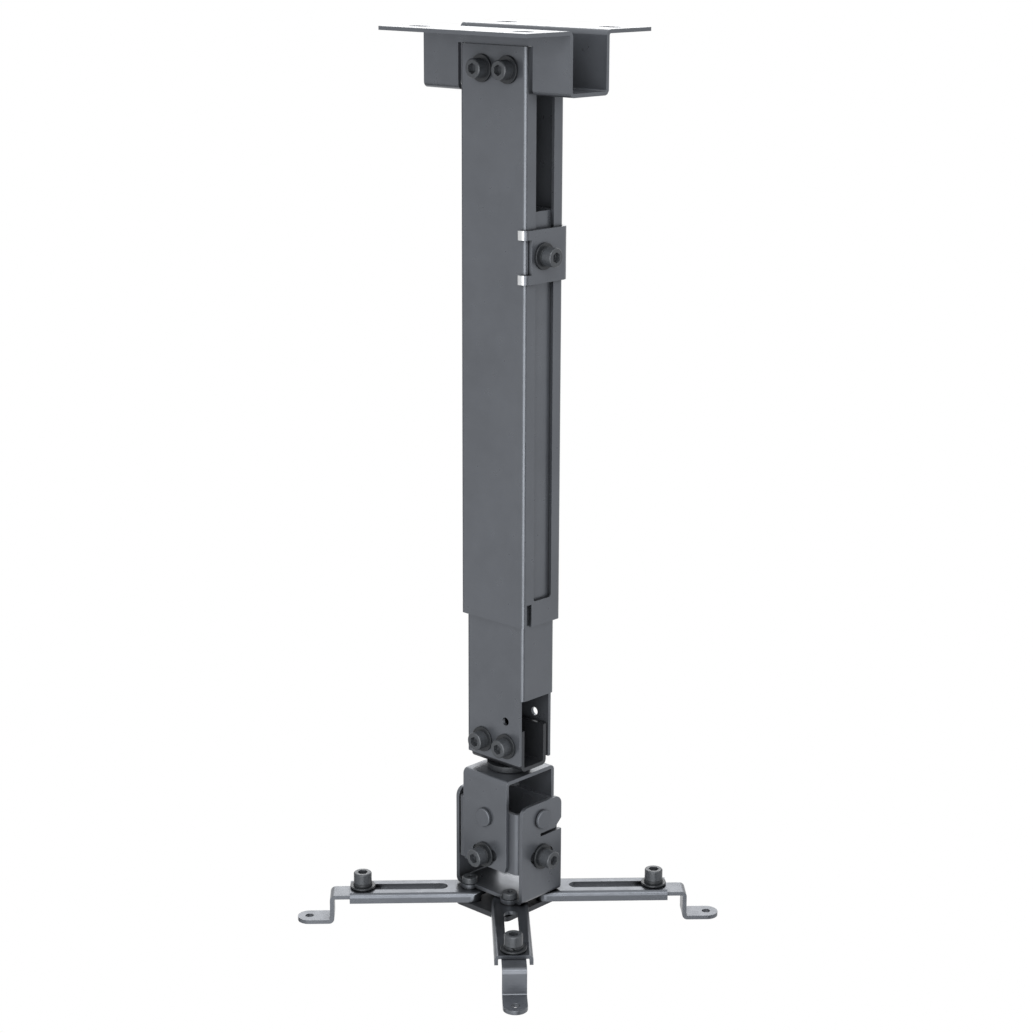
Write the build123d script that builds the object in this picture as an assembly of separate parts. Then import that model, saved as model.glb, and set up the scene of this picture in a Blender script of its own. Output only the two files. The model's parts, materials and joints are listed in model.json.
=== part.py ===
from build123d import *
import math
import os

# Projector ceiling mount: a telescopic column, a two way joint head and four swinging arms.
# Millimetres. The origin is the middle of the ceiling bracket on its mounting face. Z points up,
# X runs along the bracket, and the wide front of the column faces -Y.

# Sheet metal and clearances
bracket_sheet = 2.0
column_sheet = 1.8
head_sheet = 2.2
arm_sheet = 2.0
foot_sheet = 2.3
moving_gap = 0.3        # between faces that slide or turn past each other
running_gap = 0.05      # all round a pin in the hole it turns in
bolt_gap = 0.2          # all round a screw in the hole it passes through

# Fasteners
thread = 6.0
screw_head = 10.0
screw_head_height = 6.0
hex_socket = 5.0
hex_socket_depth = 3.2
washer_width = 14.0
washer_sheet = 1.2
spring_washer_width = 10.6
spring_washer_sheet = 1.6
spring_washer_split = 1.0
nut_width = 10.0
nut_height = 4.6
thread_end = 1.4        # how far a screw stands out of its nut

# Ceiling bracket
bracket_length = 102.0
bracket_height = 32.4
bracket_overall = 94.0
bracket_bend = 3.0
ceiling_slot_length = 13.0
ceiling_slot_width = 6.5
ceiling_slot_pitch = 72.0
ceiling_slot_edge = 14.7        # from the middle of the slot to the free edge of its flange
slit_gap = 0.2                  # above the top of the column
slit_outer_gap = 2.6            # from the side of the column to the outer edge of its slit

# Outer column
outer_width = 46.6
outer_depth = 29.2
outer_top = -8.5
outer_bottom = -312.8
column_bend = 2.4
side_slot_width = 13.7
side_slot_top = -28.0
side_slot_bottom = -299.0
side_slot_corner = 1.5
end_slit_width = 3.7             # beside the front corner, below the side slot
end_slit_height = 12.6
column_screw_pitch = 18.0
column_screw_x = 1.5            # from the middle of the column to the middle of the pair
column_screw_z = -20.3

# Inner column, at the height that it rests at
inner_top = -91.7
inner_bottom = -392.6
slide_gap = 0.4                 # between the narrow sides of the two columns
side_window_top = -355.0
cable_hole = 4.6
cable_hole_x = 8.3
cable_hole_z = -369.0
neck_screw_pitch = 17.4
neck_screw_z = -383.2

# Clamp on the side slot
clamp_z = -114.1
clamp_height = 27.8
clamp_sheet = 2.0
clamp_finger_height = 4.9
clamp_finger_reach = 3.2
clamp_lip_reach = 7.0
clamp_edge = 2.5                # from the front of the column to the edge between the fingers
clamp_guide_height = 20.0
clamp_screw_offset = 3.0        # of the screw, forward of the middle of the column

# Neck bracket and swivel
neck_gap = 1.8                  # from the back of the neck to the wall of the inner column
neck_top = -373.0
neck_drop = 3.9                 # from the end of the inner column to the underside of the neck
swivel_pin = 8.0
swivel_head_height = 4.6
swivel_spacer = 24.0
swivel_spacer_height = 3.4
swivel_washer = 20.0
swivel_washer_sheet = 1.0
swivel_nut = 13.0
swivel_nut_height = 6.0

# Roll yoke
roll_yoke_width = 32.6
roll_yoke_depth = 38.8
roll_yoke_drop = 53.3
head_bend = 3.0
pivot_drop = 24.3               # from the top of the roll yoke to both tilting axes
lock_drop = 22.0                # from the tilting axes to the lock screws
pivot_pin = 8.0
pivot_head = 10.5
pivot_head_height = 1.8
roll_limit = 15.0
tilt_limit = 15.0

# Gimbal frame
frame_above = 5.9
frame_below = 29.5

# Tilt yoke
tilt_yoke_width = 50.0
tilt_yoke_depth = 32.0
tilt_flange_above = 9.7
tilt_yoke_drop = 46.8           # from the tilting axes to the underside of the base
tilt_corner = 5.0
tilt_slit_depth = 17.0
tilt_slit_height = 1.8
tilt_slit_drop = 9.2
tilt_slit_mouth = 6.4            # height of the slit where it opens at the edge
tilt_slit_mouth_depth = 5.0
lug_edge = 2.6                  # round the arm pivots' holes in the base

# Arms
arm_pivot_radius = 21.6
arm_pivot_thread = 5.0
arm_pivot_head = 8.5
arm_pivot_head_height = 3.5
arm_pivot_socket = 3.0
arm_pivot_socket_depth = 2.2
arm_width = 20.6
arm_height = 5.5
arm_tip = 88.6
arm_bend = 2.5
arm_slot_width = 7.6
arm_slot_start = 34.0
arm_slot_end = 85.5
arm_bush = 10.0
arm_angles = {"left": 225.0, "front": 315.0, "right": 45.0, "back": 135.0}
retaining_plate_side = 4.4      # from the middle of a pivot to the side edge of the plate
retaining_plate_front = 8.2     # and to its front or back edge
retaining_plate_sheet = 3.0
retaining_plate_corner = 4.0

# Feet
foot_width = 13.1
foot_screw_radius = 81.5
foot_inner_reach = 10.0         # from the foot screw to the end of the foot inside its arm
foot_leg_radius = 99.8
foot_drop = 14.6
foot_hole = 4.5
foot_hole_radius = 111.6
foot_bend = 3.0

# Places that follow from the sizes above
bracket_depth = outer_depth - column_sheet + bracket_sheet
outer_front = -bracket_depth / 2 - column_sheet
column_y = outer_front + outer_depth / 2
clamp_screw_y = column_y - clamp_screw_offset
outer_side = outer_width / 2
inner_side = outer_side - column_sheet - slide_gap
inner_depth = outer_depth - 2 * (column_sheet + moving_gap)
inner_front = column_y - inner_depth / 2
neck_width = 2 * (inner_side - column_bend)
neck_front = inner_front + column_sheet
neck_depth = inner_depth - 2 * column_sheet - neck_gap
head_y = neck_front + neck_depth / 2
swivel_head = neck_depth - 2 * (head_bend + bolt_gap)
neck_bottom = inner_bottom - neck_drop
yoke_top = neck_bottom - swivel_spacer_height - moving_gap
pivot_z = yoke_top - pivot_drop
lock_z = pivot_z - lock_drop
frame_depth = roll_yoke_depth - 2 * (head_sheet + moving_gap)
frame_width = tilt_yoke_width - 2 * (head_sheet + moving_gap)
base_bottom = pivot_z - tilt_yoke_drop
arm_top = base_bottom - moving_gap
plate_top = arm_top - arm_height - moving_gap
strip_top = arm_top - arm_sheet - moving_gap
foot_top = strip_top - foot_drop
pivot_side = arm_pivot_radius * math.sqrt(0.5)

# Hole sizes
screw_hole = thread + 2 * bolt_gap
pivot_hole = pivot_pin + 2 * running_gap
arm_pivot_hole = arm_pivot_thread + 2 * bolt_gap


def seat(x, y, z, outward):
    """Place for a part built along +Z: its seat at the point and its head pointing outward."""
    return Plane(origin=(x, y, z), z_dir=outward).location


def drill(x, y, z, direction, width, depth):
    """Round cutter centred on a point."""
    return seat(x, y, z, direction) * Cylinder(width / 2, depth)


def folded(points, sheet, bend):
    """Section of a folded sheet from the corners of its middle line and its outside bend radius."""
    return trace(FilletPolyline(*points, radius=bend - sheet / 2), sheet)


def box_tube(width, depth, bend, sheet, bottom, top):
    """Rectangular tube with bent corners, centred on the Z axis."""
    section = RectangleRounded(width, depth, bend)
    section -= RectangleRounded(width - 2 * sheet, depth - 2 * sheet, bend - sheet)
    return Pos(0, 0, bottom) * extrude(section, amount=top - bottom)


def ring(outer, bore, height):
    """Washer or bush standing on z = 0."""
    return extrude(Circle(outer / 2) - Circle(bore / 2), amount=height)


def headed_pin(head, height, bevel, pin, grip):
    """Round head on z = 0 with a pin as long as the grip below it."""
    cap = extrude(Circle(head / 2), amount=height)
    cap = chamfer(cap.edges().group_by(Axis.Z)[-1], bevel)
    return cap + extrude(Circle(pin / 2), amount=-grip)


def hexagon(width):
    """Hexagon by its width across flats."""
    return RegularPolygon(width / 2, 6, major_radius=False)


def socket_screw(grip):
    """Socket head screw seated on z = 0."""
    screw = headed_pin(screw_head, screw_head_height, screw_head / 20, thread, grip)
    return screw - Pos(0, 0, screw_head_height) * extrude(hexagon(hex_socket), amount=-hex_socket_depth)


def arm_pivot_screw(grip):
    """Low head socket screw seated on z = 0."""
    bevel = arm_pivot_head / 20
    screw = headed_pin(arm_pivot_head, arm_pivot_head_height, bevel, arm_pivot_thread, grip)
    socket = extrude(hexagon(arm_pivot_socket), amount=-arm_pivot_socket_depth)
    return screw - Pos(0, 0, arm_pivot_head_height) * socket


def hex_nut(width, bore, height):
    """Hexagon nut standing on z = 0."""
    return extrude(hexagon(width) - Circle(bore / 2), amount=height)


def spring_washer():
    """Split spring washer standing on z = 0."""
    split = Box(spring_washer_width, spring_washer_split, 4 * spring_washer_sheet,
                align=(Align.MIN, Align.CENTER, Align.CENTER))
    body = ring(spring_washer_width, screw_hole, spring_washer_sheet)
    return body - Pos(0, 0, spring_washer_sheet / 2) * Rot(30, 0, 0) * split


def arc_slot(half_angle):
    """Cutter for the curved slot of a lock screw, below a pivot at the origin."""
    path = CenterArc((0, 0), lock_drop, -90 - half_angle, 2 * half_angle)
    return extrude(SlotArc(path, thread + 2 * moving_gap), amount=2 * head_sheet, both=True)


def column_screw_places():
    """The two screws that hold the column, from left to right."""
    return column_screw_x - column_screw_pitch / 2, column_screw_x + column_screw_pitch / 2


def ceiling_bracket():
    """Hat channel along X, open at both ends and slit for the walls of the outer column."""
    middle = bracket_sheet / 2
    wall = bracket_depth / 2 - middle
    edge = bracket_overall / 2
    floor = -bracket_height + middle
    left = [(-edge, -middle), (-wall, -middle), (-wall, floor)]
    right = [(-y, z) for y, z in reversed(left)]
    section = Plane.YZ * folded(left + right, bracket_sheet, bracket_bend)
    body = extrude(section, amount=bracket_length / 2, both=True)
    slot = extrude(SlotOverall(ceiling_slot_length, ceiling_slot_width), amount=2 * bracket_sheet, both=True)
    slot_y = edge - ceiling_slot_edge
    for x in (-ceiling_slot_pitch / 2, ceiling_slot_pitch / 2):
        for y in (-slot_y, slot_y):
            body -= Pos(x, y, 0) * slot
    slit_inner = outer_side - column_bend
    slit_width = column_bend + slit_outer_gap
    slit_top = outer_top + slit_gap
    slit_height = bracket_height + slit_top
    for side in (-1, 1):
        slit = Box(slit_width, 2 * bracket_bend, slit_height,
                   align=(Align.CENTER, Align.CENTER, Align.MAX))
        body -= Pos(side * (slit_inner + slit_width / 2), -wall, slit_top) * slit
    inside = bracket_depth - 2 * bracket_sheet
    body -= Pos(0, 0, floor) * Box(2 * (outer_side + slit_outer_gap), inside, 2 * bracket_bend)
    for x in column_screw_places():
        body -= drill(x, -wall, column_screw_z, (0, 1, 0), screw_hole, 2 * bracket_sheet)
    return body


def outer_column():
    """Upper tube of the telescopic column, with the long slot and the end slit in its right side."""
    tube = box_tube(outer_width, outer_depth, column_bend, column_sheet, outer_bottom, outer_top)
    body = Pos(0, column_y, 0) * tube
    slot_height = side_slot_top - side_slot_bottom
    slot = RectangleRounded(side_slot_width, slot_height, side_slot_corner)
    slot = Plane.YZ * extrude(slot, amount=2 * column_sheet, both=True)
    body -= Pos(outer_side, column_y, side_slot_bottom + slot_height / 2) * slot
    slit = Box(2 * column_sheet, end_slit_width, 2 * end_slit_height)
    slit_y = outer_front + column_bend + end_slit_width / 2
    body -= Pos(outer_side - column_sheet / 2, slit_y, outer_bottom) * slit
    for x in column_screw_places():
        body -= drill(x, outer_front, column_screw_z, (0, 1, 0), screw_hole, 4 * column_sheet)
    return body


def inner_column():
    """Lower tube of the column, its right side cut away at the neck."""
    tube = box_tube(2 * inner_side, inner_depth, column_bend, column_sheet, inner_bottom, inner_top)
    body = Pos(0, column_y, 0) * tube
    window = Box(2 * column_bend, inner_depth, side_window_top - inner_bottom,
                 align=(Align.CENTER, Align.CENTER, Align.MIN))
    body -= Pos(inner_side, column_y, inner_bottom) * window
    body -= drill(cable_hole_x, column_y, cable_hole_z, (0, 1, 0), cable_hole, 2 * inner_depth)
    body -= drill(inner_side, clamp_screw_y, clamp_z, (1, 0, 0), screw_hole, 4 * column_sheet)
    for x in (-neck_screw_pitch / 2, neck_screw_pitch / 2):
        body -= drill(x, inner_front, neck_screw_z, (0, 1, 0), screw_hole, 4 * column_sheet)
    return body


def column_clamp():
    """Plate that rides in the side slot and hooks round both edges of the outer column."""
    middle = clamp_sheet / 2 + moving_gap
    side = outer_side + middle
    front = outer_front - middle
    back = outer_front + outer_depth + middle
    bottom = clamp_z - clamp_height / 2
    points = [(outer_side - clamp_finger_reach, front), (side, front), (side, back),
              (outer_side - clamp_lip_reach, back)]
    section = folded(points, clamp_sheet, column_bend + moving_gap + clamp_sheet)
    body = Pos(0, 0, bottom) * extrude(section, amount=clamp_height)
    notch_depth = clamp_edge + clamp_sheet + moving_gap
    notch = Box(outer_width, notch_depth, clamp_height - 2 * clamp_finger_height)
    body -= Pos(outer_side, outer_front + clamp_edge - notch_depth / 2, clamp_z) * notch
    guide_depth = side + clamp_sheet / 2 - inner_side
    guide = Box(guide_depth, side_slot_width - 2 * moving_gap, clamp_guide_height)
    body += Pos(inner_side + guide_depth / 2, column_y, clamp_z) * guide
    return body - drill(outer_side, clamp_screw_y, clamp_z, (1, 0, 0), screw_hole, outer_side)


def neck_bracket():
    """U bracket bolted inside the foot of the inner column, which carries the swivel."""
    middle = head_sheet / 2
    half = neck_depth / 2 - middle
    floor = neck_bottom + middle
    points = [(-half, neck_top), (-half, floor), (half, floor), (half, neck_top)]
    section = Plane.YZ * folded(points, head_sheet, head_bend)
    body = Pos(0, head_y, 0) * extrude(section, amount=neck_width / 2, both=True)
    for x in (-neck_screw_pitch / 2, neck_screw_pitch / 2):
        body -= drill(x, neck_front, neck_screw_z, (0, 1, 0), screw_hole, 4 * head_sheet)
    return body - drill(0, head_y, floor, (0, 0, 1), swivel_pin, 4 * head_sheet)


def roll_yoke():
    """Upside down U under the swivel, with curved slots for the roll lock screws."""
    middle = head_sheet / 2
    half = roll_yoke_depth / 2 - middle
    bottom = yoke_top - roll_yoke_drop
    points = [(-half, bottom), (-half, yoke_top - middle), (half, yoke_top - middle), (half, bottom)]
    section = Plane.YZ * folded(points, head_sheet, head_bend)
    body = Pos(0, head_y, 0) * extrude(section, amount=roll_yoke_width / 2, both=True)
    body &= Plane.XZ * extrude(roll_yoke_outline(), amount=roll_yoke_depth, both=True)
    body -= drill(0, head_y, yoke_top, (0, 0, 1), swivel_pin + 2 * running_gap, 4 * head_sheet)
    body -= drill(0, head_y, pivot_z, (0, 1, 0), pivot_hole, 2 * roll_yoke_depth)
    for side in (-1, 1):
        face = Plane(origin=(0, head_y + side * half, pivot_z), x_dir=(1, 0, 0), z_dir=(0, -1, 0))
        body -= face.location * arc_slot(roll_limit)
    return body


def roll_yoke_outline():
    """Front view of the roll yoke. Its lower corners clear the tilt yoke at full roll."""
    clear = tilt_yoke_width / 2 - head_sheet - 2 * moving_gap
    outline = Pos(0, yoke_top) * Rectangle(roll_yoke_width, roll_yoke_drop, align=(Align.CENTER, Align.MAX))
    for side, inner_edge in ((-1, Align.MAX), (1, Align.MIN)):
        corner = Rectangle(roll_yoke_width, 2 * roll_yoke_drop, align=(inner_edge, Align.MAX))
        outline -= Pos(0, pivot_z) * Rot(0, 0, -side * roll_limit) * Pos(side * clear, 0) * corner
    return outline


def gimbal_frame():
    """Short box tube between the two yokes, which carries all four pivots."""
    bottom = pivot_z - frame_below
    top = pivot_z + frame_above
    tube = box_tube(frame_width, frame_depth, head_bend, head_sheet, bottom, top)
    body = Pos(0, head_y, 0) * tube
    for direction in ((1, 0, 0), (0, 1, 0)):
        body -= drill(0, head_y, pivot_z, direction, pivot_pin, 2 * frame_width)
        body -= drill(0, head_y, lock_z, direction, screw_hole, 2 * frame_width)
    return body


def tilt_yoke():
    """Lower U whose base carries the arms, with curved slots for the tilt lock screws."""
    middle = head_sheet / 2
    half = tilt_yoke_width / 2 - middle
    top = pivot_z + tilt_flange_above
    floor = base_bottom + middle
    points = [(-half, top), (-half, floor), (half, floor), (half, top)]
    section = Plane.XZ * folded(points, head_sheet, head_bend)
    body = Pos(0, head_y, 0) * extrude(section, amount=tilt_yoke_depth / 2, both=True)
    corners = body.edges().filter_by(Axis.X).group_by(Axis.Z)[-1]
    body = fillet(corners, tilt_corner)
    for x, y in arm_pivots():
        lug = Pos(x, y) * Circle(arm_pivot_hole / 2 + lug_edge)
        lug += Pos(x, (y + head_y) / 2) * Rectangle(arm_pivot_hole + 2 * lug_edge, abs(y - head_y))
        body += Pos(0, 0, base_bottom) * extrude(lug, amount=head_sheet)
    slit = Plane.YZ * extrude(tilt_slit(), amount=tilt_yoke_width, both=True)
    body -= Pos(0, head_y + tilt_yoke_depth / 2, pivot_z - tilt_slit_drop) * slit
    body -= drill(0, head_y, pivot_z, (1, 0, 0), pivot_hole, 2 * tilt_yoke_width)
    for side in (-1, 1):
        face = Plane(origin=(side * half, head_y, pivot_z), x_dir=(0, 1, 0), z_dir=(1, 0, 0))
        body -= face.location * arc_slot(tilt_limit)
    for x, y in arm_pivots():
        body -= drill(x, y, floor, (0, 0, 1), arm_pivot_hole, 2 * head_sheet)
    return body


def tilt_slit():
    """Side view of the slit in the flanges, from its mouth at the origin towards -Y."""
    top = tilt_slit_height / 2
    left = -tilt_slit_depth
    mouth_top = tilt_slit_mouth - top
    corners = [(left, -top), (left, top), (-tilt_slit_mouth_depth, top), (0, mouth_top), (0, -top)]
    return make_face(Polyline(*corners, close=True))


def around_arms(radius, angle):
    """Point at a radius from the swivel axis, on the line of an arm."""
    a = math.radians(angle)
    return radius * math.cos(a), head_y + radius * math.sin(a)


def arm_pivots():
    """The four points where the arms swing."""
    return [around_arms(arm_pivot_radius, angle) for angle in arm_angles.values()]


def on_arm(angle, part):
    """Turn a part that is built along +X from the swivel axis onto the line of its arm."""
    return Pos(0, head_y, 0) * Rot(0, 0, angle) * part


def arm(angle):
    """Upside down channel with a rounded hub end and a long slot for the foot screw."""
    middle = arm_sheet / 2
    half = arm_width / 2
    bottom = arm_top - arm_height
    points = [(middle - half, bottom), (middle - half, arm_top - middle),
              (half - middle, arm_top - middle), (half - middle, bottom)]
    start = arm_pivot_radius - half
    section = Plane.YZ * folded(points, arm_sheet, arm_bend)
    body = Pos(start, 0, 0) * extrude(section, amount=arm_tip - start)
    hub = Pos(arm_pivot_radius, 0) * Circle(half)
    shaft = Pos((arm_pivot_radius + arm_tip) / 2, 0) * Rectangle(arm_tip - arm_pivot_radius, arm_width)
    body &= Pos(0, 0, bottom) * extrude(hub + shaft, amount=arm_height)
    slot_length = arm_slot_end - arm_slot_start
    slot = extrude(SlotOverall(slot_length, arm_slot_width), amount=2 * arm_sheet, both=True)
    body -= Pos(arm_slot_start + slot_length / 2, 0, arm_top) * slot
    body -= drill(arm_pivot_radius, 0, arm_top, (0, 0, 1), arm_bush + 2 * running_gap, 4 * arm_sheet)
    return on_arm(angle, body)


def foot(angle):
    """Stepped strip that slides in the arm and ends in a round tab for the projector's screw."""
    middle = foot_sheet / 2
    leg = foot_leg_radius - middle
    tip = foot_hole_radius + foot_width / 2
    start = foot_screw_radius - foot_inner_reach
    points = [(start, strip_top - middle), (leg, strip_top - middle),
              (leg, foot_top - middle), (tip, foot_top - middle)]
    section = Plane.XZ * folded(points, foot_sheet, foot_bend)
    body = extrude(section, amount=foot_width / 2, both=True)
    outline = Pos((start + foot_hole_radius) / 2, 0) * Rectangle(foot_hole_radius - start, foot_width)
    outline += Pos(foot_hole_radius, 0) * Circle(foot_width / 2)
    body &= Pos(0, 0, foot_top - foot_sheet) * extrude(outline, amount=strip_top - foot_top + foot_sheet)
    body -= drill(foot_hole_radius, 0, foot_top, (0, 0, 1), foot_hole, 4 * foot_sheet)
    body -= drill(foot_screw_radius, 0, strip_top, (0, 0, 1), thread, 4 * foot_sheet)
    return on_arm(angle, body)


def foot_washer(angle):
    """Washer of the foot screw, just clear of the arm it slides along."""
    washer = ring(washer_width, screw_hole, washer_sheet)
    return on_arm(angle, Pos(foot_screw_radius, 0, arm_top + moving_gap) * washer)


def foot_spring_washer(angle):
    """Spring washer between the foot screw's head and its washer."""
    bottom = arm_top + moving_gap + washer_sheet
    return on_arm(angle, Pos(foot_screw_radius, 0, bottom) * spring_washer())


def foot_screw(angle):
    """Screw that passes the slot of the arm and is tapped into the foot."""
    top = arm_top + moving_gap + washer_sheet + spring_washer_sheet
    bottom = arm_top - arm_height
    return on_arm(angle, Pos(foot_screw_radius, 0, top) * socket_screw(top - bottom))


def screwed_joint(x, y, z, outward, gap, sheets, sprung=False):
    """Screw, washers and nut that hold sheets together. The gap is below the flat washer."""
    outer = seat(x, y, z, outward)
    head = gap + washer_sheet
    pieces = {
        "washers": outer * Pos(0, 0, gap) * ring(washer_width, screw_hole, washer_sheet),
        "nuts": outer * Pos(0, 0, -sheets - nut_height) * hex_nut(nut_width, thread, nut_height),
    }
    if sprung:
        pieces["spring_washers"] = outer * Pos(0, 0, head) * spring_washer()
        head += spring_washer_sheet
    screw = socket_screw(head + sheets + nut_height + thread_end)
    pieces["screws"] = outer * Pos(0, 0, head) * screw
    return pieces


def joined(joints):
    """Group screwed joints by kind of fastener."""
    return {kind: Compound(children=[joint[kind] for joint in joints]) for kind in joints[0]}


def column_fasteners():
    """Two screws that hold the outer column to the tongue of the bracket."""
    sheets = column_sheet + bracket_sheet
    joints = []
    for x in column_screw_places():
        joints.append(screwed_joint(x, outer_front, column_screw_z, (0, -1, 0), 0, sheets))
    return joined(joints)


def clamp_fasteners():
    """The screw that locks the height of the column."""
    plate = outer_side + moving_gap + clamp_sheet
    sheets = plate - inner_side + column_sheet
    return joined([screwed_joint(plate, clamp_screw_y, clamp_z, (1, 0, 0), 0, sheets, sprung=True)])


def neck_fasteners():
    """Two screws that hold the neck bracket in the inner column."""
    sheets = column_sheet + head_sheet
    joints = []
    for x in (-neck_screw_pitch / 2, neck_screw_pitch / 2):
        joints.append(screwed_joint(x, inner_front, neck_screw_z, (0, -1, 0), 0, sheets))
    return joined(joints)


def lock_fasteners(direction, half):
    """Two lock screws on opposite sides of the head, fixed to the gimbal frame."""
    sheets = 2 * head_sheet + moving_gap
    joints = []
    for side in (-1, 1):
        outward = tuple(side * d for d in direction)
        x = half * outward[0]
        y = head_y + half * outward[1]
        joints.append(screwed_joint(x, y, lock_z, outward, moving_gap, sheets, sprung=True))
    return joined(joints)


def pivots(direction, half):
    """Two flat headed pins on opposite sides of the head, pressed into the gimbal frame."""
    grip = 2 * (head_sheet + moving_gap)
    pin = headed_pin(pivot_head, pivot_head_height, pivot_head_height / 4, pivot_pin, grip)
    pins = []
    for side in (-1, 1):
        outward = tuple(side * d for d in direction)
        place = seat(half * outward[0], head_y + half * outward[1], pivot_z, outward)
        pins.append(place * Pos(0, 0, moving_gap) * pin)
    return Compound(children=pins)


def swivel_stack():
    """Bolt through the neck and the roll yoke, with its spacer, washer and nut."""
    floor = neck_bottom + head_sheet
    under = yoke_top - head_sheet - moving_gap - swivel_washer_sheet
    end = under - swivel_nut_height - thread_end
    bolt = headed_pin(swivel_head, swivel_head_height, swivel_head / 20, swivel_pin, floor - end)
    spacer = ring(swivel_spacer, swivel_pin, swivel_spacer_height)
    washer = ring(swivel_washer, swivel_pin, swivel_washer_sheet)
    nut = hex_nut(swivel_nut, swivel_pin, swivel_nut_height)
    return {
        "swivel_bolt": Pos(0, head_y, floor) * bolt,
        "swivel_spacer": Pos(0, head_y, neck_bottom - swivel_spacer_height) * spacer,
        "swivel_washer": Pos(0, head_y, under) * washer,
        "swivel_nut": Pos(0, head_y, under - swivel_nut_height) * nut,
    }


def arm_pivot_screws():
    """Four screws that hold the arms between the tilt yoke and the retaining plate."""
    top = base_bottom + head_sheet
    grip = top - plate_top + retaining_plate_sheet
    return Compound(children=[Pos(x, y, top) * arm_pivot_screw(grip) for x, y in arm_pivots()])


def arm_bushes():
    """Four spacers that the arms turn on."""
    bush = ring(arm_bush, arm_pivot_thread, base_bottom - plate_top)
    return Compound(children=[Pos(x, y, plate_top) * bush for x, y in arm_pivots()])


def arm_retaining_plate():
    """Plate under the hub ends of the arms, tapped for their pivot screws."""
    width = 2 * (pivot_side + retaining_plate_side)
    depth = 2 * (pivot_side + retaining_plate_front)
    outline = RectangleRounded(width, depth, retaining_plate_corner)
    body = Pos(0, head_y, plate_top - retaining_plate_sheet) * extrude(outline, amount=retaining_plate_sheet)
    for x, y in arm_pivots():
        body -= drill(x, y, plate_top, (0, 0, 1), arm_pivot_thread, 4 * retaining_plate_sheet)
    return body


def all_nodes():
    """Every separate piece of the mount by name."""
    nodes = {
        "ceiling_bracket": ceiling_bracket(),
        "outer_column": outer_column(),
        "inner_column": inner_column(),
        "column_clamp": column_clamp(),
        "neck_bracket": neck_bracket(),
        "roll_yoke": roll_yoke(),
        "gimbal_frame": gimbal_frame(),
        "tilt_yoke": tilt_yoke(),
        "arm_pivot_screws": arm_pivot_screws(),
        "arm_bushes": arm_bushes(),
        "retaining_plate": arm_retaining_plate(),
    }
    front = (0, 1, 0)
    side = (1, 0, 0)
    fasteners = {
        "column": column_fasteners(),
        "clamp": clamp_fasteners(),
        "neck": neck_fasteners(),
        "roll_lock": lock_fasteners(front, roll_yoke_depth / 2),
        "tilt_lock": lock_fasteners(side, tilt_yoke_width / 2),
    }
    for place, kinds in fasteners.items():
        for kind, pieces in kinds.items():
            nodes[place + "_" + kind] = pieces
    nodes.update(swivel_stack())
    nodes["roll_pivots"] = pivots(front, roll_yoke_depth / 2)
    nodes["tilt_pivots"] = pivots(side, tilt_yoke_width / 2)
    for name, angle in arm_angles.items():
        nodes["arm_" + name] = arm(angle)
        nodes["foot_" + name] = foot(angle)
        nodes["foot_washer_" + name] = foot_washer(angle)
        nodes["foot_spring_washer_" + name] = foot_spring_washer(angle)
        nodes["foot_screw_" + name] = foot_screw(angle)
    return nodes


os.makedirs("parts", exist_ok=True)
for node_name, node in all_nodes().items():
    export_step(node, "parts/" + node_name + ".step")
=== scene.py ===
import json
import math

import bpy
from mathutils import Euler, Matrix, Vector


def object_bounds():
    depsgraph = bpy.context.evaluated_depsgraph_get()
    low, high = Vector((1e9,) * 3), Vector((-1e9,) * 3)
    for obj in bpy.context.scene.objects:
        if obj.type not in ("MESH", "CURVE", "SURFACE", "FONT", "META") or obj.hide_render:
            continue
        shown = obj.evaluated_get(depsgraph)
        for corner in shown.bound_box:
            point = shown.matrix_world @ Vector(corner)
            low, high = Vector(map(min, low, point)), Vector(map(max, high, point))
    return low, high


# Projector mount as in the photograph: satin dark grey coat on folded steel, dark coated screws.
# Metres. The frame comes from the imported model: Z up, X along the bracket, the column faces -Y.

# Camera, fitted to the corners of the bracket, column, head and feet in the photograph
PHOTO_PIXELS = 1033
FOCAL_PIXELS = 2281.6
CAMERA_AZIMUTH = 42.89          # degrees round from the -Y side towards +X
CAMERA_PITCH = 15.058           # degrees downward
CAMERA_ROLL = 0.22              # degrees, which lean the top of the picture to the right
CAMERA_PLACE = (0.8074, -0.8665, 0.0607)
SENSOR_WIDTH = 36.0             # millimetres
CLIP_START = 0.01

# Colours, linear
WHITE = (1.0, 1.0, 1.0)
COAT_GREY = (0.120, 0.129, 0.145)
# Near-black coat of the pieces in the charcoal_coat slot: partly their own dark coat, partly painted shade
# where they sit in shadow
SHADED_CHARCOAL = (0.045, 0.048, 0.054)
FASTENER_GREY = (0.072, 0.078, 0.086)
WASHER_GREY = (0.030, 0.033, 0.037)
# Light colour painted on the clamp's finger tips as a highlight
TIP_HIGHLIGHT = (0.58, 0.59, 0.60)
PLATED = (0.34, 0.35, 0.37)
FLOOR_GREY = (0.30, 0.30, 0.30)
CARD_BLACK = (0.02, 0.02, 0.02)
ARM_DIMMED_TONE = 0.85                 # the arms' grey as a part of the grey of the rest, darker as painted shade that dims their brightly lit tops

# Tones: values of a finish's noise, and how bright its colour is there
FILM_TONES = ((0.30, 0.93), (0.52, 1.00), (0.74, 1.07))
FASTENER_TONES = ((0.30, 0.75), (0.55, 1.00), (0.80, 1.30))
PLATED_TONES = ((0.30, 0.85), (0.60, 1.00), (0.80, 1.08))

# Gloss: the lowest and highest roughness of a finish
SATIN = (0.27, 0.36)
CHARCOAL_SATIN = (0.34, 0.46)
MATT = (0.48, 0.58)
FASTENER_SATIN = (0.30, 0.48)
PLATED_SATIN = (0.30, 0.45)
NOISE_LOW = 0.3                 # most values of a noise lie between these two
NOISE_HIGH = 0.7

# Metal: how much of a finish shines like metal. The coat has metal flakes in it.
COAT_METAL = 0.60
ARM_METAL = 0.85
FASTENER_METAL = 0.35
PLATED_METAL = 1.00

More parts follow.
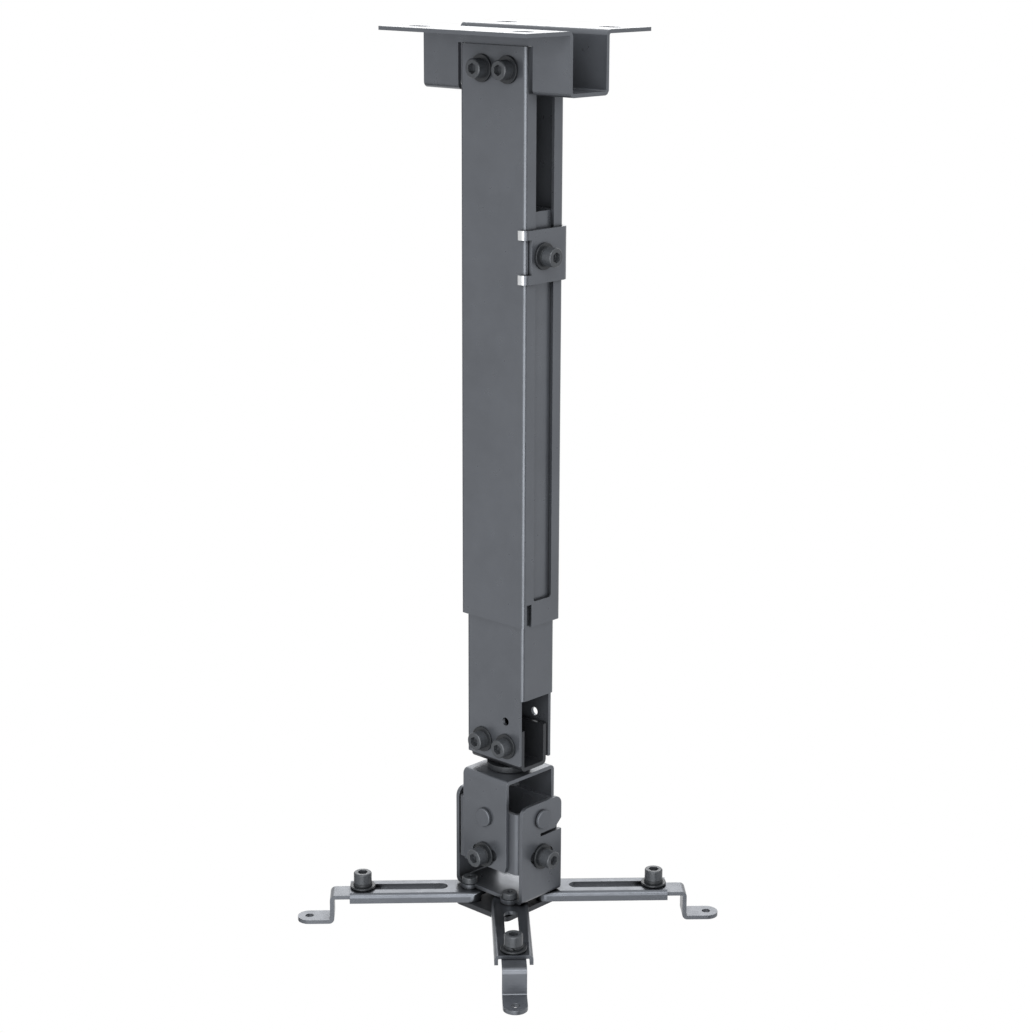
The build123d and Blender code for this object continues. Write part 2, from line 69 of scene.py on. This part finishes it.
# Grain, in features per metre
FILM_GRAIN = 28.0               # uneven thickness of the coat
PATCH_GRAIN = 160.0             # patches with more and less gloss
PEEL_GRAIN = 900.0              # orange peel
FASTENER_GRAIN = 1800.0
PLATED_GRAIN = 500.0

# Relief of the orange peel and of the fasteners' grain
PEEL_DEPTH = 0.00005
PEEL_STRENGTH = 0.30
FASTENER_DEPTH = 0.00003
FASTENER_STRENGTH = 0.35

# Painted shade: colour darkened inside recesses, where shade falls. What is left of the colour there goes
# from 0 to 1.
SHADE_REACH = 0.020             # how near other steel must be for the painted shade to darken the colour
SHADE_SAMPLES = 8
FULL_SHADE = 0.25               # how open a place is where the shade is full
NO_SHADE = 0.85                 # and where it ends
SLOT_SHADE = 0.08               # left in the outer column and tilt yoke, and on the clamp and plated steel
ARM_SHADE = 0.02                # left inside the arms
JOINT_SHADE = 0.85              # left on the rest of the coated steel

# Pieces whose coat differs from that of their material slot
# The outer column and the tilt yoke wear the grey coat with the deeper painted shade of SLOT_SHADE in
# their recesses.
DEEP_SHADE_PIECES = ("outer_column", "tilt_yoke")
ARM_PIECES = ("arm_left", "arm_front", "arm_right", "arm_back")
MATT_PIECES = ("gimbal_frame", "roll_pivots", "tilt_pivots")
FINGER_TIP_Y = -0.0173          # the clamp's finger tips lie in front of this
FINGER_TIP_X = 0.0236           # and to the left of this, where a highlight is painted

# Edges
WELD_GAP = 0.000002             # corners that lie nearer than this are joined
FLAT_ANGLE = 0.5                # triangles that lie flatter than this are joined, in degrees
EDGE_ROUND = 0.00022            # radius that the coat gives to cut edges
EDGE_SEGMENTS = 2
EDGE_ANGLE = 32.0               # edges sharper than this are rounded, in degrees
FACE_WEIGHT = 100               # how much large faces lead the shading, of at most 100

# Floor, cards and surroundings
FLOOR_DROP = 1.10               # from the lowest point of the mount to the floor
FLOOR_SIZE = 14.0
CARD_AZIMUTHS = {"card_right": 72.0, "card_left": -68.0}
CARD_DISTANCE = 1.6
CARD_RISE = -0.3                # from the middle of the mount
CARD_WIDTH = 0.6
CARD_HEIGHT = 2.4
WORLD_FILL = 0.33               # what the surroundings give to matt surfaces, where 1 is white
FULL_WHITE = 1.0


def scaled(colour, factor):
    """The colour, made lighter or darker by a factor."""
    return tuple(c * factor for c in colour)


def new_material(name):
    """New material: (material, its node tree, its Principled shader)."""
    material = bpy.data.materials.new(name)
    material.use_nodes = True
    tree = material.node_tree
    return material, tree, tree.nodes["Principled BSDF"]


def feed(tree, node, values):
    """Feeds inputs of a node with numbers, colours or outputs of other nodes."""
    for key, value in values.items():
        socket = node.inputs[key]
        if isinstance(value, bpy.types.NodeSocket):
            tree.links.new(value, socket)
        else:
            socket.default_value = value


def noise(tree, grain, detail, rough=0.5):
    """Noise in the mount's own coordinates."""
    place = tree.nodes.new("ShaderNodeTexCoord")
    texture = tree.nodes.new("ShaderNodeTexNoise")
    feed(tree, texture, {
        "Vector": place.outputs["Object"],
        "Scale": grain,
        "Detail": detail,
        "Roughness": rough,
    })
    return texture.outputs["Fac"]


def toned(tree, value, colour, tones):
    """The colour, made darker and lighter by a noise."""
    node = tree.nodes.new("ShaderNodeValToRGB")
    elements = node.color_ramp.elements
    for position, _ in tones[1:-1]:
        elements.new(position)
    for element, (position, brightness) in zip(elements, tones):
        element.position = position
        element.color = (*scaled(colour, brightness), 1.0)
    feed(tree, node, {"Fac": value})
    return node.outputs["Color"]


def mapped(tree, value, start, end, low, high=1.0):
    """Stretches the part of a value from start to end onto the range from low to high."""
    node = tree.nodes.new("ShaderNodeMapRange")
    feed(tree, node, {"Value": value, "From Min": start, "From Max": end, "To Min": low, "To Max": high})
    return node.outputs["Result"]


def glossy(tree, value, gloss):
    """Roughness that follows a noise."""
    return mapped(tree, value, NOISE_LOW, NOISE_HIGH, *gloss)


def blended(tree, blend, factor, first, second):
    """Two colours made into one."""
    node = tree.nodes.new("ShaderNodeMix")
    node.data_type = "RGBA"
    node.blend_type = blend
    feed(tree, node, {"Factor": factor, "A": first, "B": second})
    return node.outputs["Result"]


def combined(tree, operation, first, second):
    """Two numbers made into one."""
    node = tree.nodes.new("ShaderNodeMath")
    node.operation = operation
    feed(tree, node, {0: first, 1: second})
    return node.outputs["Value"]


def painted_recess_shade(tree, colour, left):
    """Darkens a colour inside tubes, slots and joints, where shade falls: painted shade."""
    near = tree.nodes.new("ShaderNodeAmbientOcclusion")
    near.samples = SHADE_SAMPLES
    feed(tree, near, {"Distance": SHADE_REACH})
    shade = mapped(tree, near.outputs["AO"], FULL_SHADE, NO_SHADE, left)
    return blended(tree, "MULTIPLY", 1.0, colour, shade)


def relief(tree, value, depth, strength):
    """Normal of a surface that a noise makes uneven."""
    node = tree.nodes.new("ShaderNodeBump")
    feed(tree, node, {"Height": value, "Distance": depth, "Strength": strength})
    return node.outputs["Normal"]


def coated_steel(name, colour, gloss, left, metal=COAT_METAL):
    """Satin powder coat: uneven film, patches of gloss and orange peel, with painted shade inside
    recesses.
    """
    material, tree, shader = new_material(name)
    film = noise(tree, FILM_GRAIN, detail=4.0, rough=0.6)
    patches = noise(tree, PATCH_GRAIN, detail=3.0)
    peel = noise(tree, PEEL_GRAIN, detail=2.0)
    feed(tree, shader, {
        "Base Color": painted_recess_shade(tree, toned(tree, film, colour, FILM_TONES), left),
        "Roughness": glossy(tree, patches, gloss),
        "Normal": relief(tree, peel, PEEL_DEPTH, PEEL_STRENGTH),
        "Metallic": metal,
    })
    return material


def highlighted_clamp_steel(name):
    """The coat of the column, with a highlight painted as light steel on the tips of the clamp's fingers.
    """
    material = coated_steel(name, COAT_GREY, SATIN, SLOT_SHADE)
    tree = material.node_tree
    shader = tree.nodes["Principled BSDF"]
    coat = shader.inputs["Base Color"].links[0].from_socket
    place = tree.nodes.new("ShaderNodeTexCoord")
    axes = tree.nodes.new("ShaderNodeSeparateXYZ")
    feed(tree, axes, {"Vector": place.outputs["Object"]})
    on_left = combined(tree, "LESS_THAN", axes.outputs["X"], FINGER_TIP_X)
    in_front = combined(tree, "LESS_THAN", axes.outputs["Y"], FINGER_TIP_Y)
    at_tip = combined(tree, "MULTIPLY", on_left, in_front)
    # Painted highlight on the finger tips
    tip_highlight = blended(tree, "MIX", at_tip, coat, (*TIP_HIGHLIGHT, 1.0))
    feed(tree, shader, {"Base Color": tip_highlight})
    return material


def coated_fastener(name, colour):
    """Dark coated hardened steel with a fine grain."""
    material, tree, shader = new_material(name)
    grain = noise(tree, FASTENER_GRAIN, detail=3.0, rough=0.6)
    feed(tree, shader, {
        "Base Color": toned(tree, grain, colour, FASTENER_TONES),
        "Roughness": glossy(tree, grain, FASTENER_SATIN),
        "Normal": relief(tree, grain, FASTENER_DEPTH, FASTENER_STRENGTH),
        "Metallic": FASTENER_METAL,
    })
    return material


def plated_steel(name, colour):
    """Plain plated steel with soft mottling, with painted shade inside recesses."""
    material, tree, shader = new_material(name)
    mottle = noise(tree, PLATED_GRAIN, detail=3.0)
    feed(tree, shader, {
        "Base Color": painted_recess_shade(tree, toned(tree, mottle, colour, PLATED_TONES), SLOT_SHADE),
        "Roughness": glossy(tree, mottle, PLATED_SATIN),
        "Metallic": PLATED_METAL,
    })
    return material


def make_finishes():
    """Every finish by its name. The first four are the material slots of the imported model."""
    # The arms wear a darker copy of the grey coat: painted shade.
    arm_dimmed_grey = scaled(COAT_GREY, ARM_DIMMED_TONE)
    return {
        "grey_powder_coat": coated_steel("grey_powder_coat", COAT_GREY, SATIN, JOINT_SHADE),
        "charcoal_coat": coated_steel("charcoal_coat", SHADED_CHARCOAL, CHARCOAL_SATIN, JOINT_SHADE),
        "dark_fastener": coated_fastener("dark_fastener", FASTENER_GREY),
        "plated_steel": plated_steel("plated_steel", PLATED),
        "deep_shade_coat": coated_steel("deep_shade_coat", COAT_GREY, SATIN, SLOT_SHADE),
        "arm_coat": coated_steel("arm_coat", arm_dimmed_grey, SATIN, ARM_SHADE, ARM_METAL),
        "matt_coat": coated_steel("matt_coat", COAT_GREY, MATT, JOINT_SHADE),
        "washer_coat": coated_fastener("washer_coat", WASHER_GREY),
        "clamp_coat": highlighted_clamp_steel("clamp_coat"),
    }


def finish_name(node, slot):
    """The finish that a node wears: that of its material slot, unless its coat differs."""
    if node == "column_clamp":
        return "clamp_coat"
    if node in DEEP_SHADE_PIECES:
        return "deep_shade_coat"
    if node in ARM_PIECES:
        return "arm_coat"
    if node in MATT_PIECES:
        return "matt_coat"
    # The swivel spacer wears the dark washer coat as painted shade, where it sits in shadow between the
    # joints.
    if "washer" in node or node == "swivel_spacer":
        return "washer_coat"
    return slot


def dress(thing, material):
    """Gives a CAD node its material and the small rounding that every coated edge has."""
    thing.data.materials.clear()
    thing.data.materials.append(material)
    weld = thing.modifiers.new("weld", "WELD")
    weld.merge_threshold = WELD_GAP
    flats = thing.modifiers.new("flats", "DECIMATE")
    flats.decimate_type = "DISSOLVE"
    flats.angle_limit = math.radians(FLAT_ANGLE)
    edge = thing.modifiers.new("edge", "BEVEL")
    edge.width = EDGE_ROUND
    edge.segments = EDGE_SEGMENTS
    edge.limit_method = "ANGLE"
    edge.angle_limit = math.radians(EDGE_ANGLE)
    edge.use_clamp_overlap = True
    shading = thing.modifiers.new("shading", "WEIGHTED_NORMAL")
    shading.mode = "FACE_AREA"
    shading.weight = FACE_WEIGHT


def seen_white(tree, lit, white_kind):
    """Mixes a lit shader with plain white for the rays that see the background."""
    path = tree.nodes.new("ShaderNodeLightPath")
    seen = combined(tree, "MAXIMUM", path.outputs["Is Camera Ray"], path.outputs["Is Glossy Ray"])
    seen = combined(tree, "MAXIMUM", seen, path.outputs["Is Transmission Ray"])
    white = tree.nodes.new(white_kind)
    feed(tree, white, {"Color": (*WHITE, 1.0), "Strength": FULL_WHITE})
    mix = tree.nodes.new("ShaderNodeMixShader")
    feed(tree, mix, {"Fac": seen, 1: lit.outputs[0], 2: white.outputs[0]})
    return mix.outputs[0]


def make_world():
    """White surroundings to the eye and to reflections, softer as a light."""
    world = bpy.data.worlds.new("studio")
    bpy.context.scene.world = world
    world.use_nodes = True
    tree = world.node_tree
    fill = tree.nodes["Background"]
    feed(tree, fill, {"Color": (*WHITE, 1.0), "Strength": WORLD_FILL})
    surface = seen_white(tree, fill, "ShaderNodeBackground")
    feed(tree, tree.nodes["World Output"], {"Surface": surface})


def flat_sheet(name, width, height, material):
    """Rectangle round the origin, which faces up."""
    x = width / 2
    y = height / 2
    mesh = bpy.data.meshes.new(name)
    mesh.from_pydata([(-x, -y, 0), (x, -y, 0), (x, y, 0), (-x, y, 0)], [], [(0, 1, 2, 3)])
    mesh.materials.append(material)
    sheet = bpy.data.objects.new(name, mesh)
    bpy.context.scene.collection.objects.link(sheet)
    return sheet


def make_floor(low):
    """Floor well below the mount: grey as a source of light, white to the eye and to reflections."""
    material, tree, shader = new_material("floor_white")
    tree.nodes.remove(shader)
    matt = tree.nodes.new("ShaderNodeBsdfDiffuse")
    feed(tree, matt, {"Color": (*FLOOR_GREY, 1.0)})
    surface = seen_white(tree, matt, "ShaderNodeEmission")
    feed(tree, tree.nodes["Material Output"], {"Surface": surface})
    floor = flat_sheet("floor", FLOOR_SIZE, FLOOR_SIZE, material)
    floor.location = (0.0, 0.0, low)


def around(middle, azimuth, distance, rise):
    """Place at a distance and height from a point. The azimuth turns from the -Y side towards +X."""
    a = math.radians(azimuth)
    return middle + Vector((distance * math.sin(a), -distance * math.cos(a), rise))


def turn_to(thing, target):
    """Turns a lamp or a card towards a point."""
    thing.rotation_euler = (target - thing.location).to_track_quat("-Z", "Y").to_euler()


def soft_box(name, middle, azimuth, distance, rise, width, height, power):
    """Rectangular lamp that faces the middle of the mount and isn't seen itself."""
    data = bpy.data.lights.new(name, "AREA")
    data.shape = "RECTANGLE"
    data.size = width
    data.size_y = height
    data.energy = power
    light = bpy.data.objects.new(name, data)
    light.location = around(middle, azimuth, distance, rise)
    turn_to(light, middle)
    light.visible_camera = False
    bpy.context.scene.collection.objects.link(light)


def dark_card(name, middle, azimuth):
    """Black card that shows only in reflections, where it draws a dark line beside each bright bend."""
    material, tree, shader = new_material(name)
    feed(tree, shader, {"Base Color": (*CARD_BLACK, 1.0)})
    card = flat_sheet(name, CARD_WIDTH, CARD_HEIGHT, material)
    card.location = around(middle, azimuth, CARD_DISTANCE, CARD_RISE)
    turn_to(card, middle)
    card.visible_camera = False
    card.visible_diffuse = False
    card.visible_shadow = False
    card.visible_transmission = False


def make_lights(middle):
    """Soft boxes in front, high above the camera, behind the mount and overhead, and two dark cards."""
    soft_box("box_front", middle, azimuth=32.0, distance=1.5, rise=-0.045,
             width=1.3, height=1.38, power=18.0)
    soft_box("box_high", middle, azimuth=CAMERA_AZIMUTH, distance=1.3, rise=1.3,
             width=1.2, height=0.8, power=14.0)
    soft_box("box_back", middle, azimuth=CAMERA_AZIMUTH, distance=-2.0, rise=0.95,
             width=1.8, height=0.9, power=15.0)
    soft_box("box_top", middle, azimuth=CAMERA_AZIMUTH, distance=0.0, rise=1.6,
             width=1.4, height=1.4, power=6.0)
    for name, azimuth in CARD_AZIMUTHS.items():
        dark_card(name, middle, azimuth)


def make_camera():
    """Camera at the photograph's place, looking the same way."""
    data = bpy.data.cameras.new("photo_view")
    data.sensor_width = SENSOR_WIDTH
    data.lens = SENSOR_WIDTH * FOCAL_PIXELS / PHOTO_PIXELS
    data.clip_start = CLIP_START
    camera = bpy.data.objects.new("photo_view", data)
    camera.location = CAMERA_PLACE
    look = Euler((math.radians(90.0 - CAMERA_PITCH), 0.0, math.radians(CAMERA_AZIMUTH))).to_matrix()
    lean = Matrix.Rotation(math.radians(CAMERA_ROLL), 3, "Z")
    camera.rotation_euler = (look @ lean).to_euler()
    bpy.context.scene.collection.objects.link(camera)
    bpy.context.scene.camera = camera


bpy.ops.wm.read_factory_settings(use_empty=True)
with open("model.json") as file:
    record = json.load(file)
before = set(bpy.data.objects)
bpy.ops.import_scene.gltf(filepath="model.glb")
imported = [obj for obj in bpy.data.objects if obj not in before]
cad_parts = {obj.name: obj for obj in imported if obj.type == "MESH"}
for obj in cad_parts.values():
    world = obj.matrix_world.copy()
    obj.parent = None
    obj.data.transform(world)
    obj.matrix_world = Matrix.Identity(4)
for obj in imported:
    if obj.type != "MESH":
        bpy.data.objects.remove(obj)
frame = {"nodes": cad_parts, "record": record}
cad_box = [list(corner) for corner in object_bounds()]

bpy.context.scene.view_settings.view_transform = "Standard"
finishes = make_finishes()
for subpart in frame["record"]["subparts"]:
    node = subpart["node"]
    dress(frame["nodes"][node], finishes[finish_name(node, subpart["material_slot"])])

lowest = cad_box[0][2]
highest = cad_box[1][2]
make_world()
make_floor(lowest - FLOOR_DROP)
make_lights(Vector((0.0, 0.0, (lowest + highest) / 2)))
make_camera()
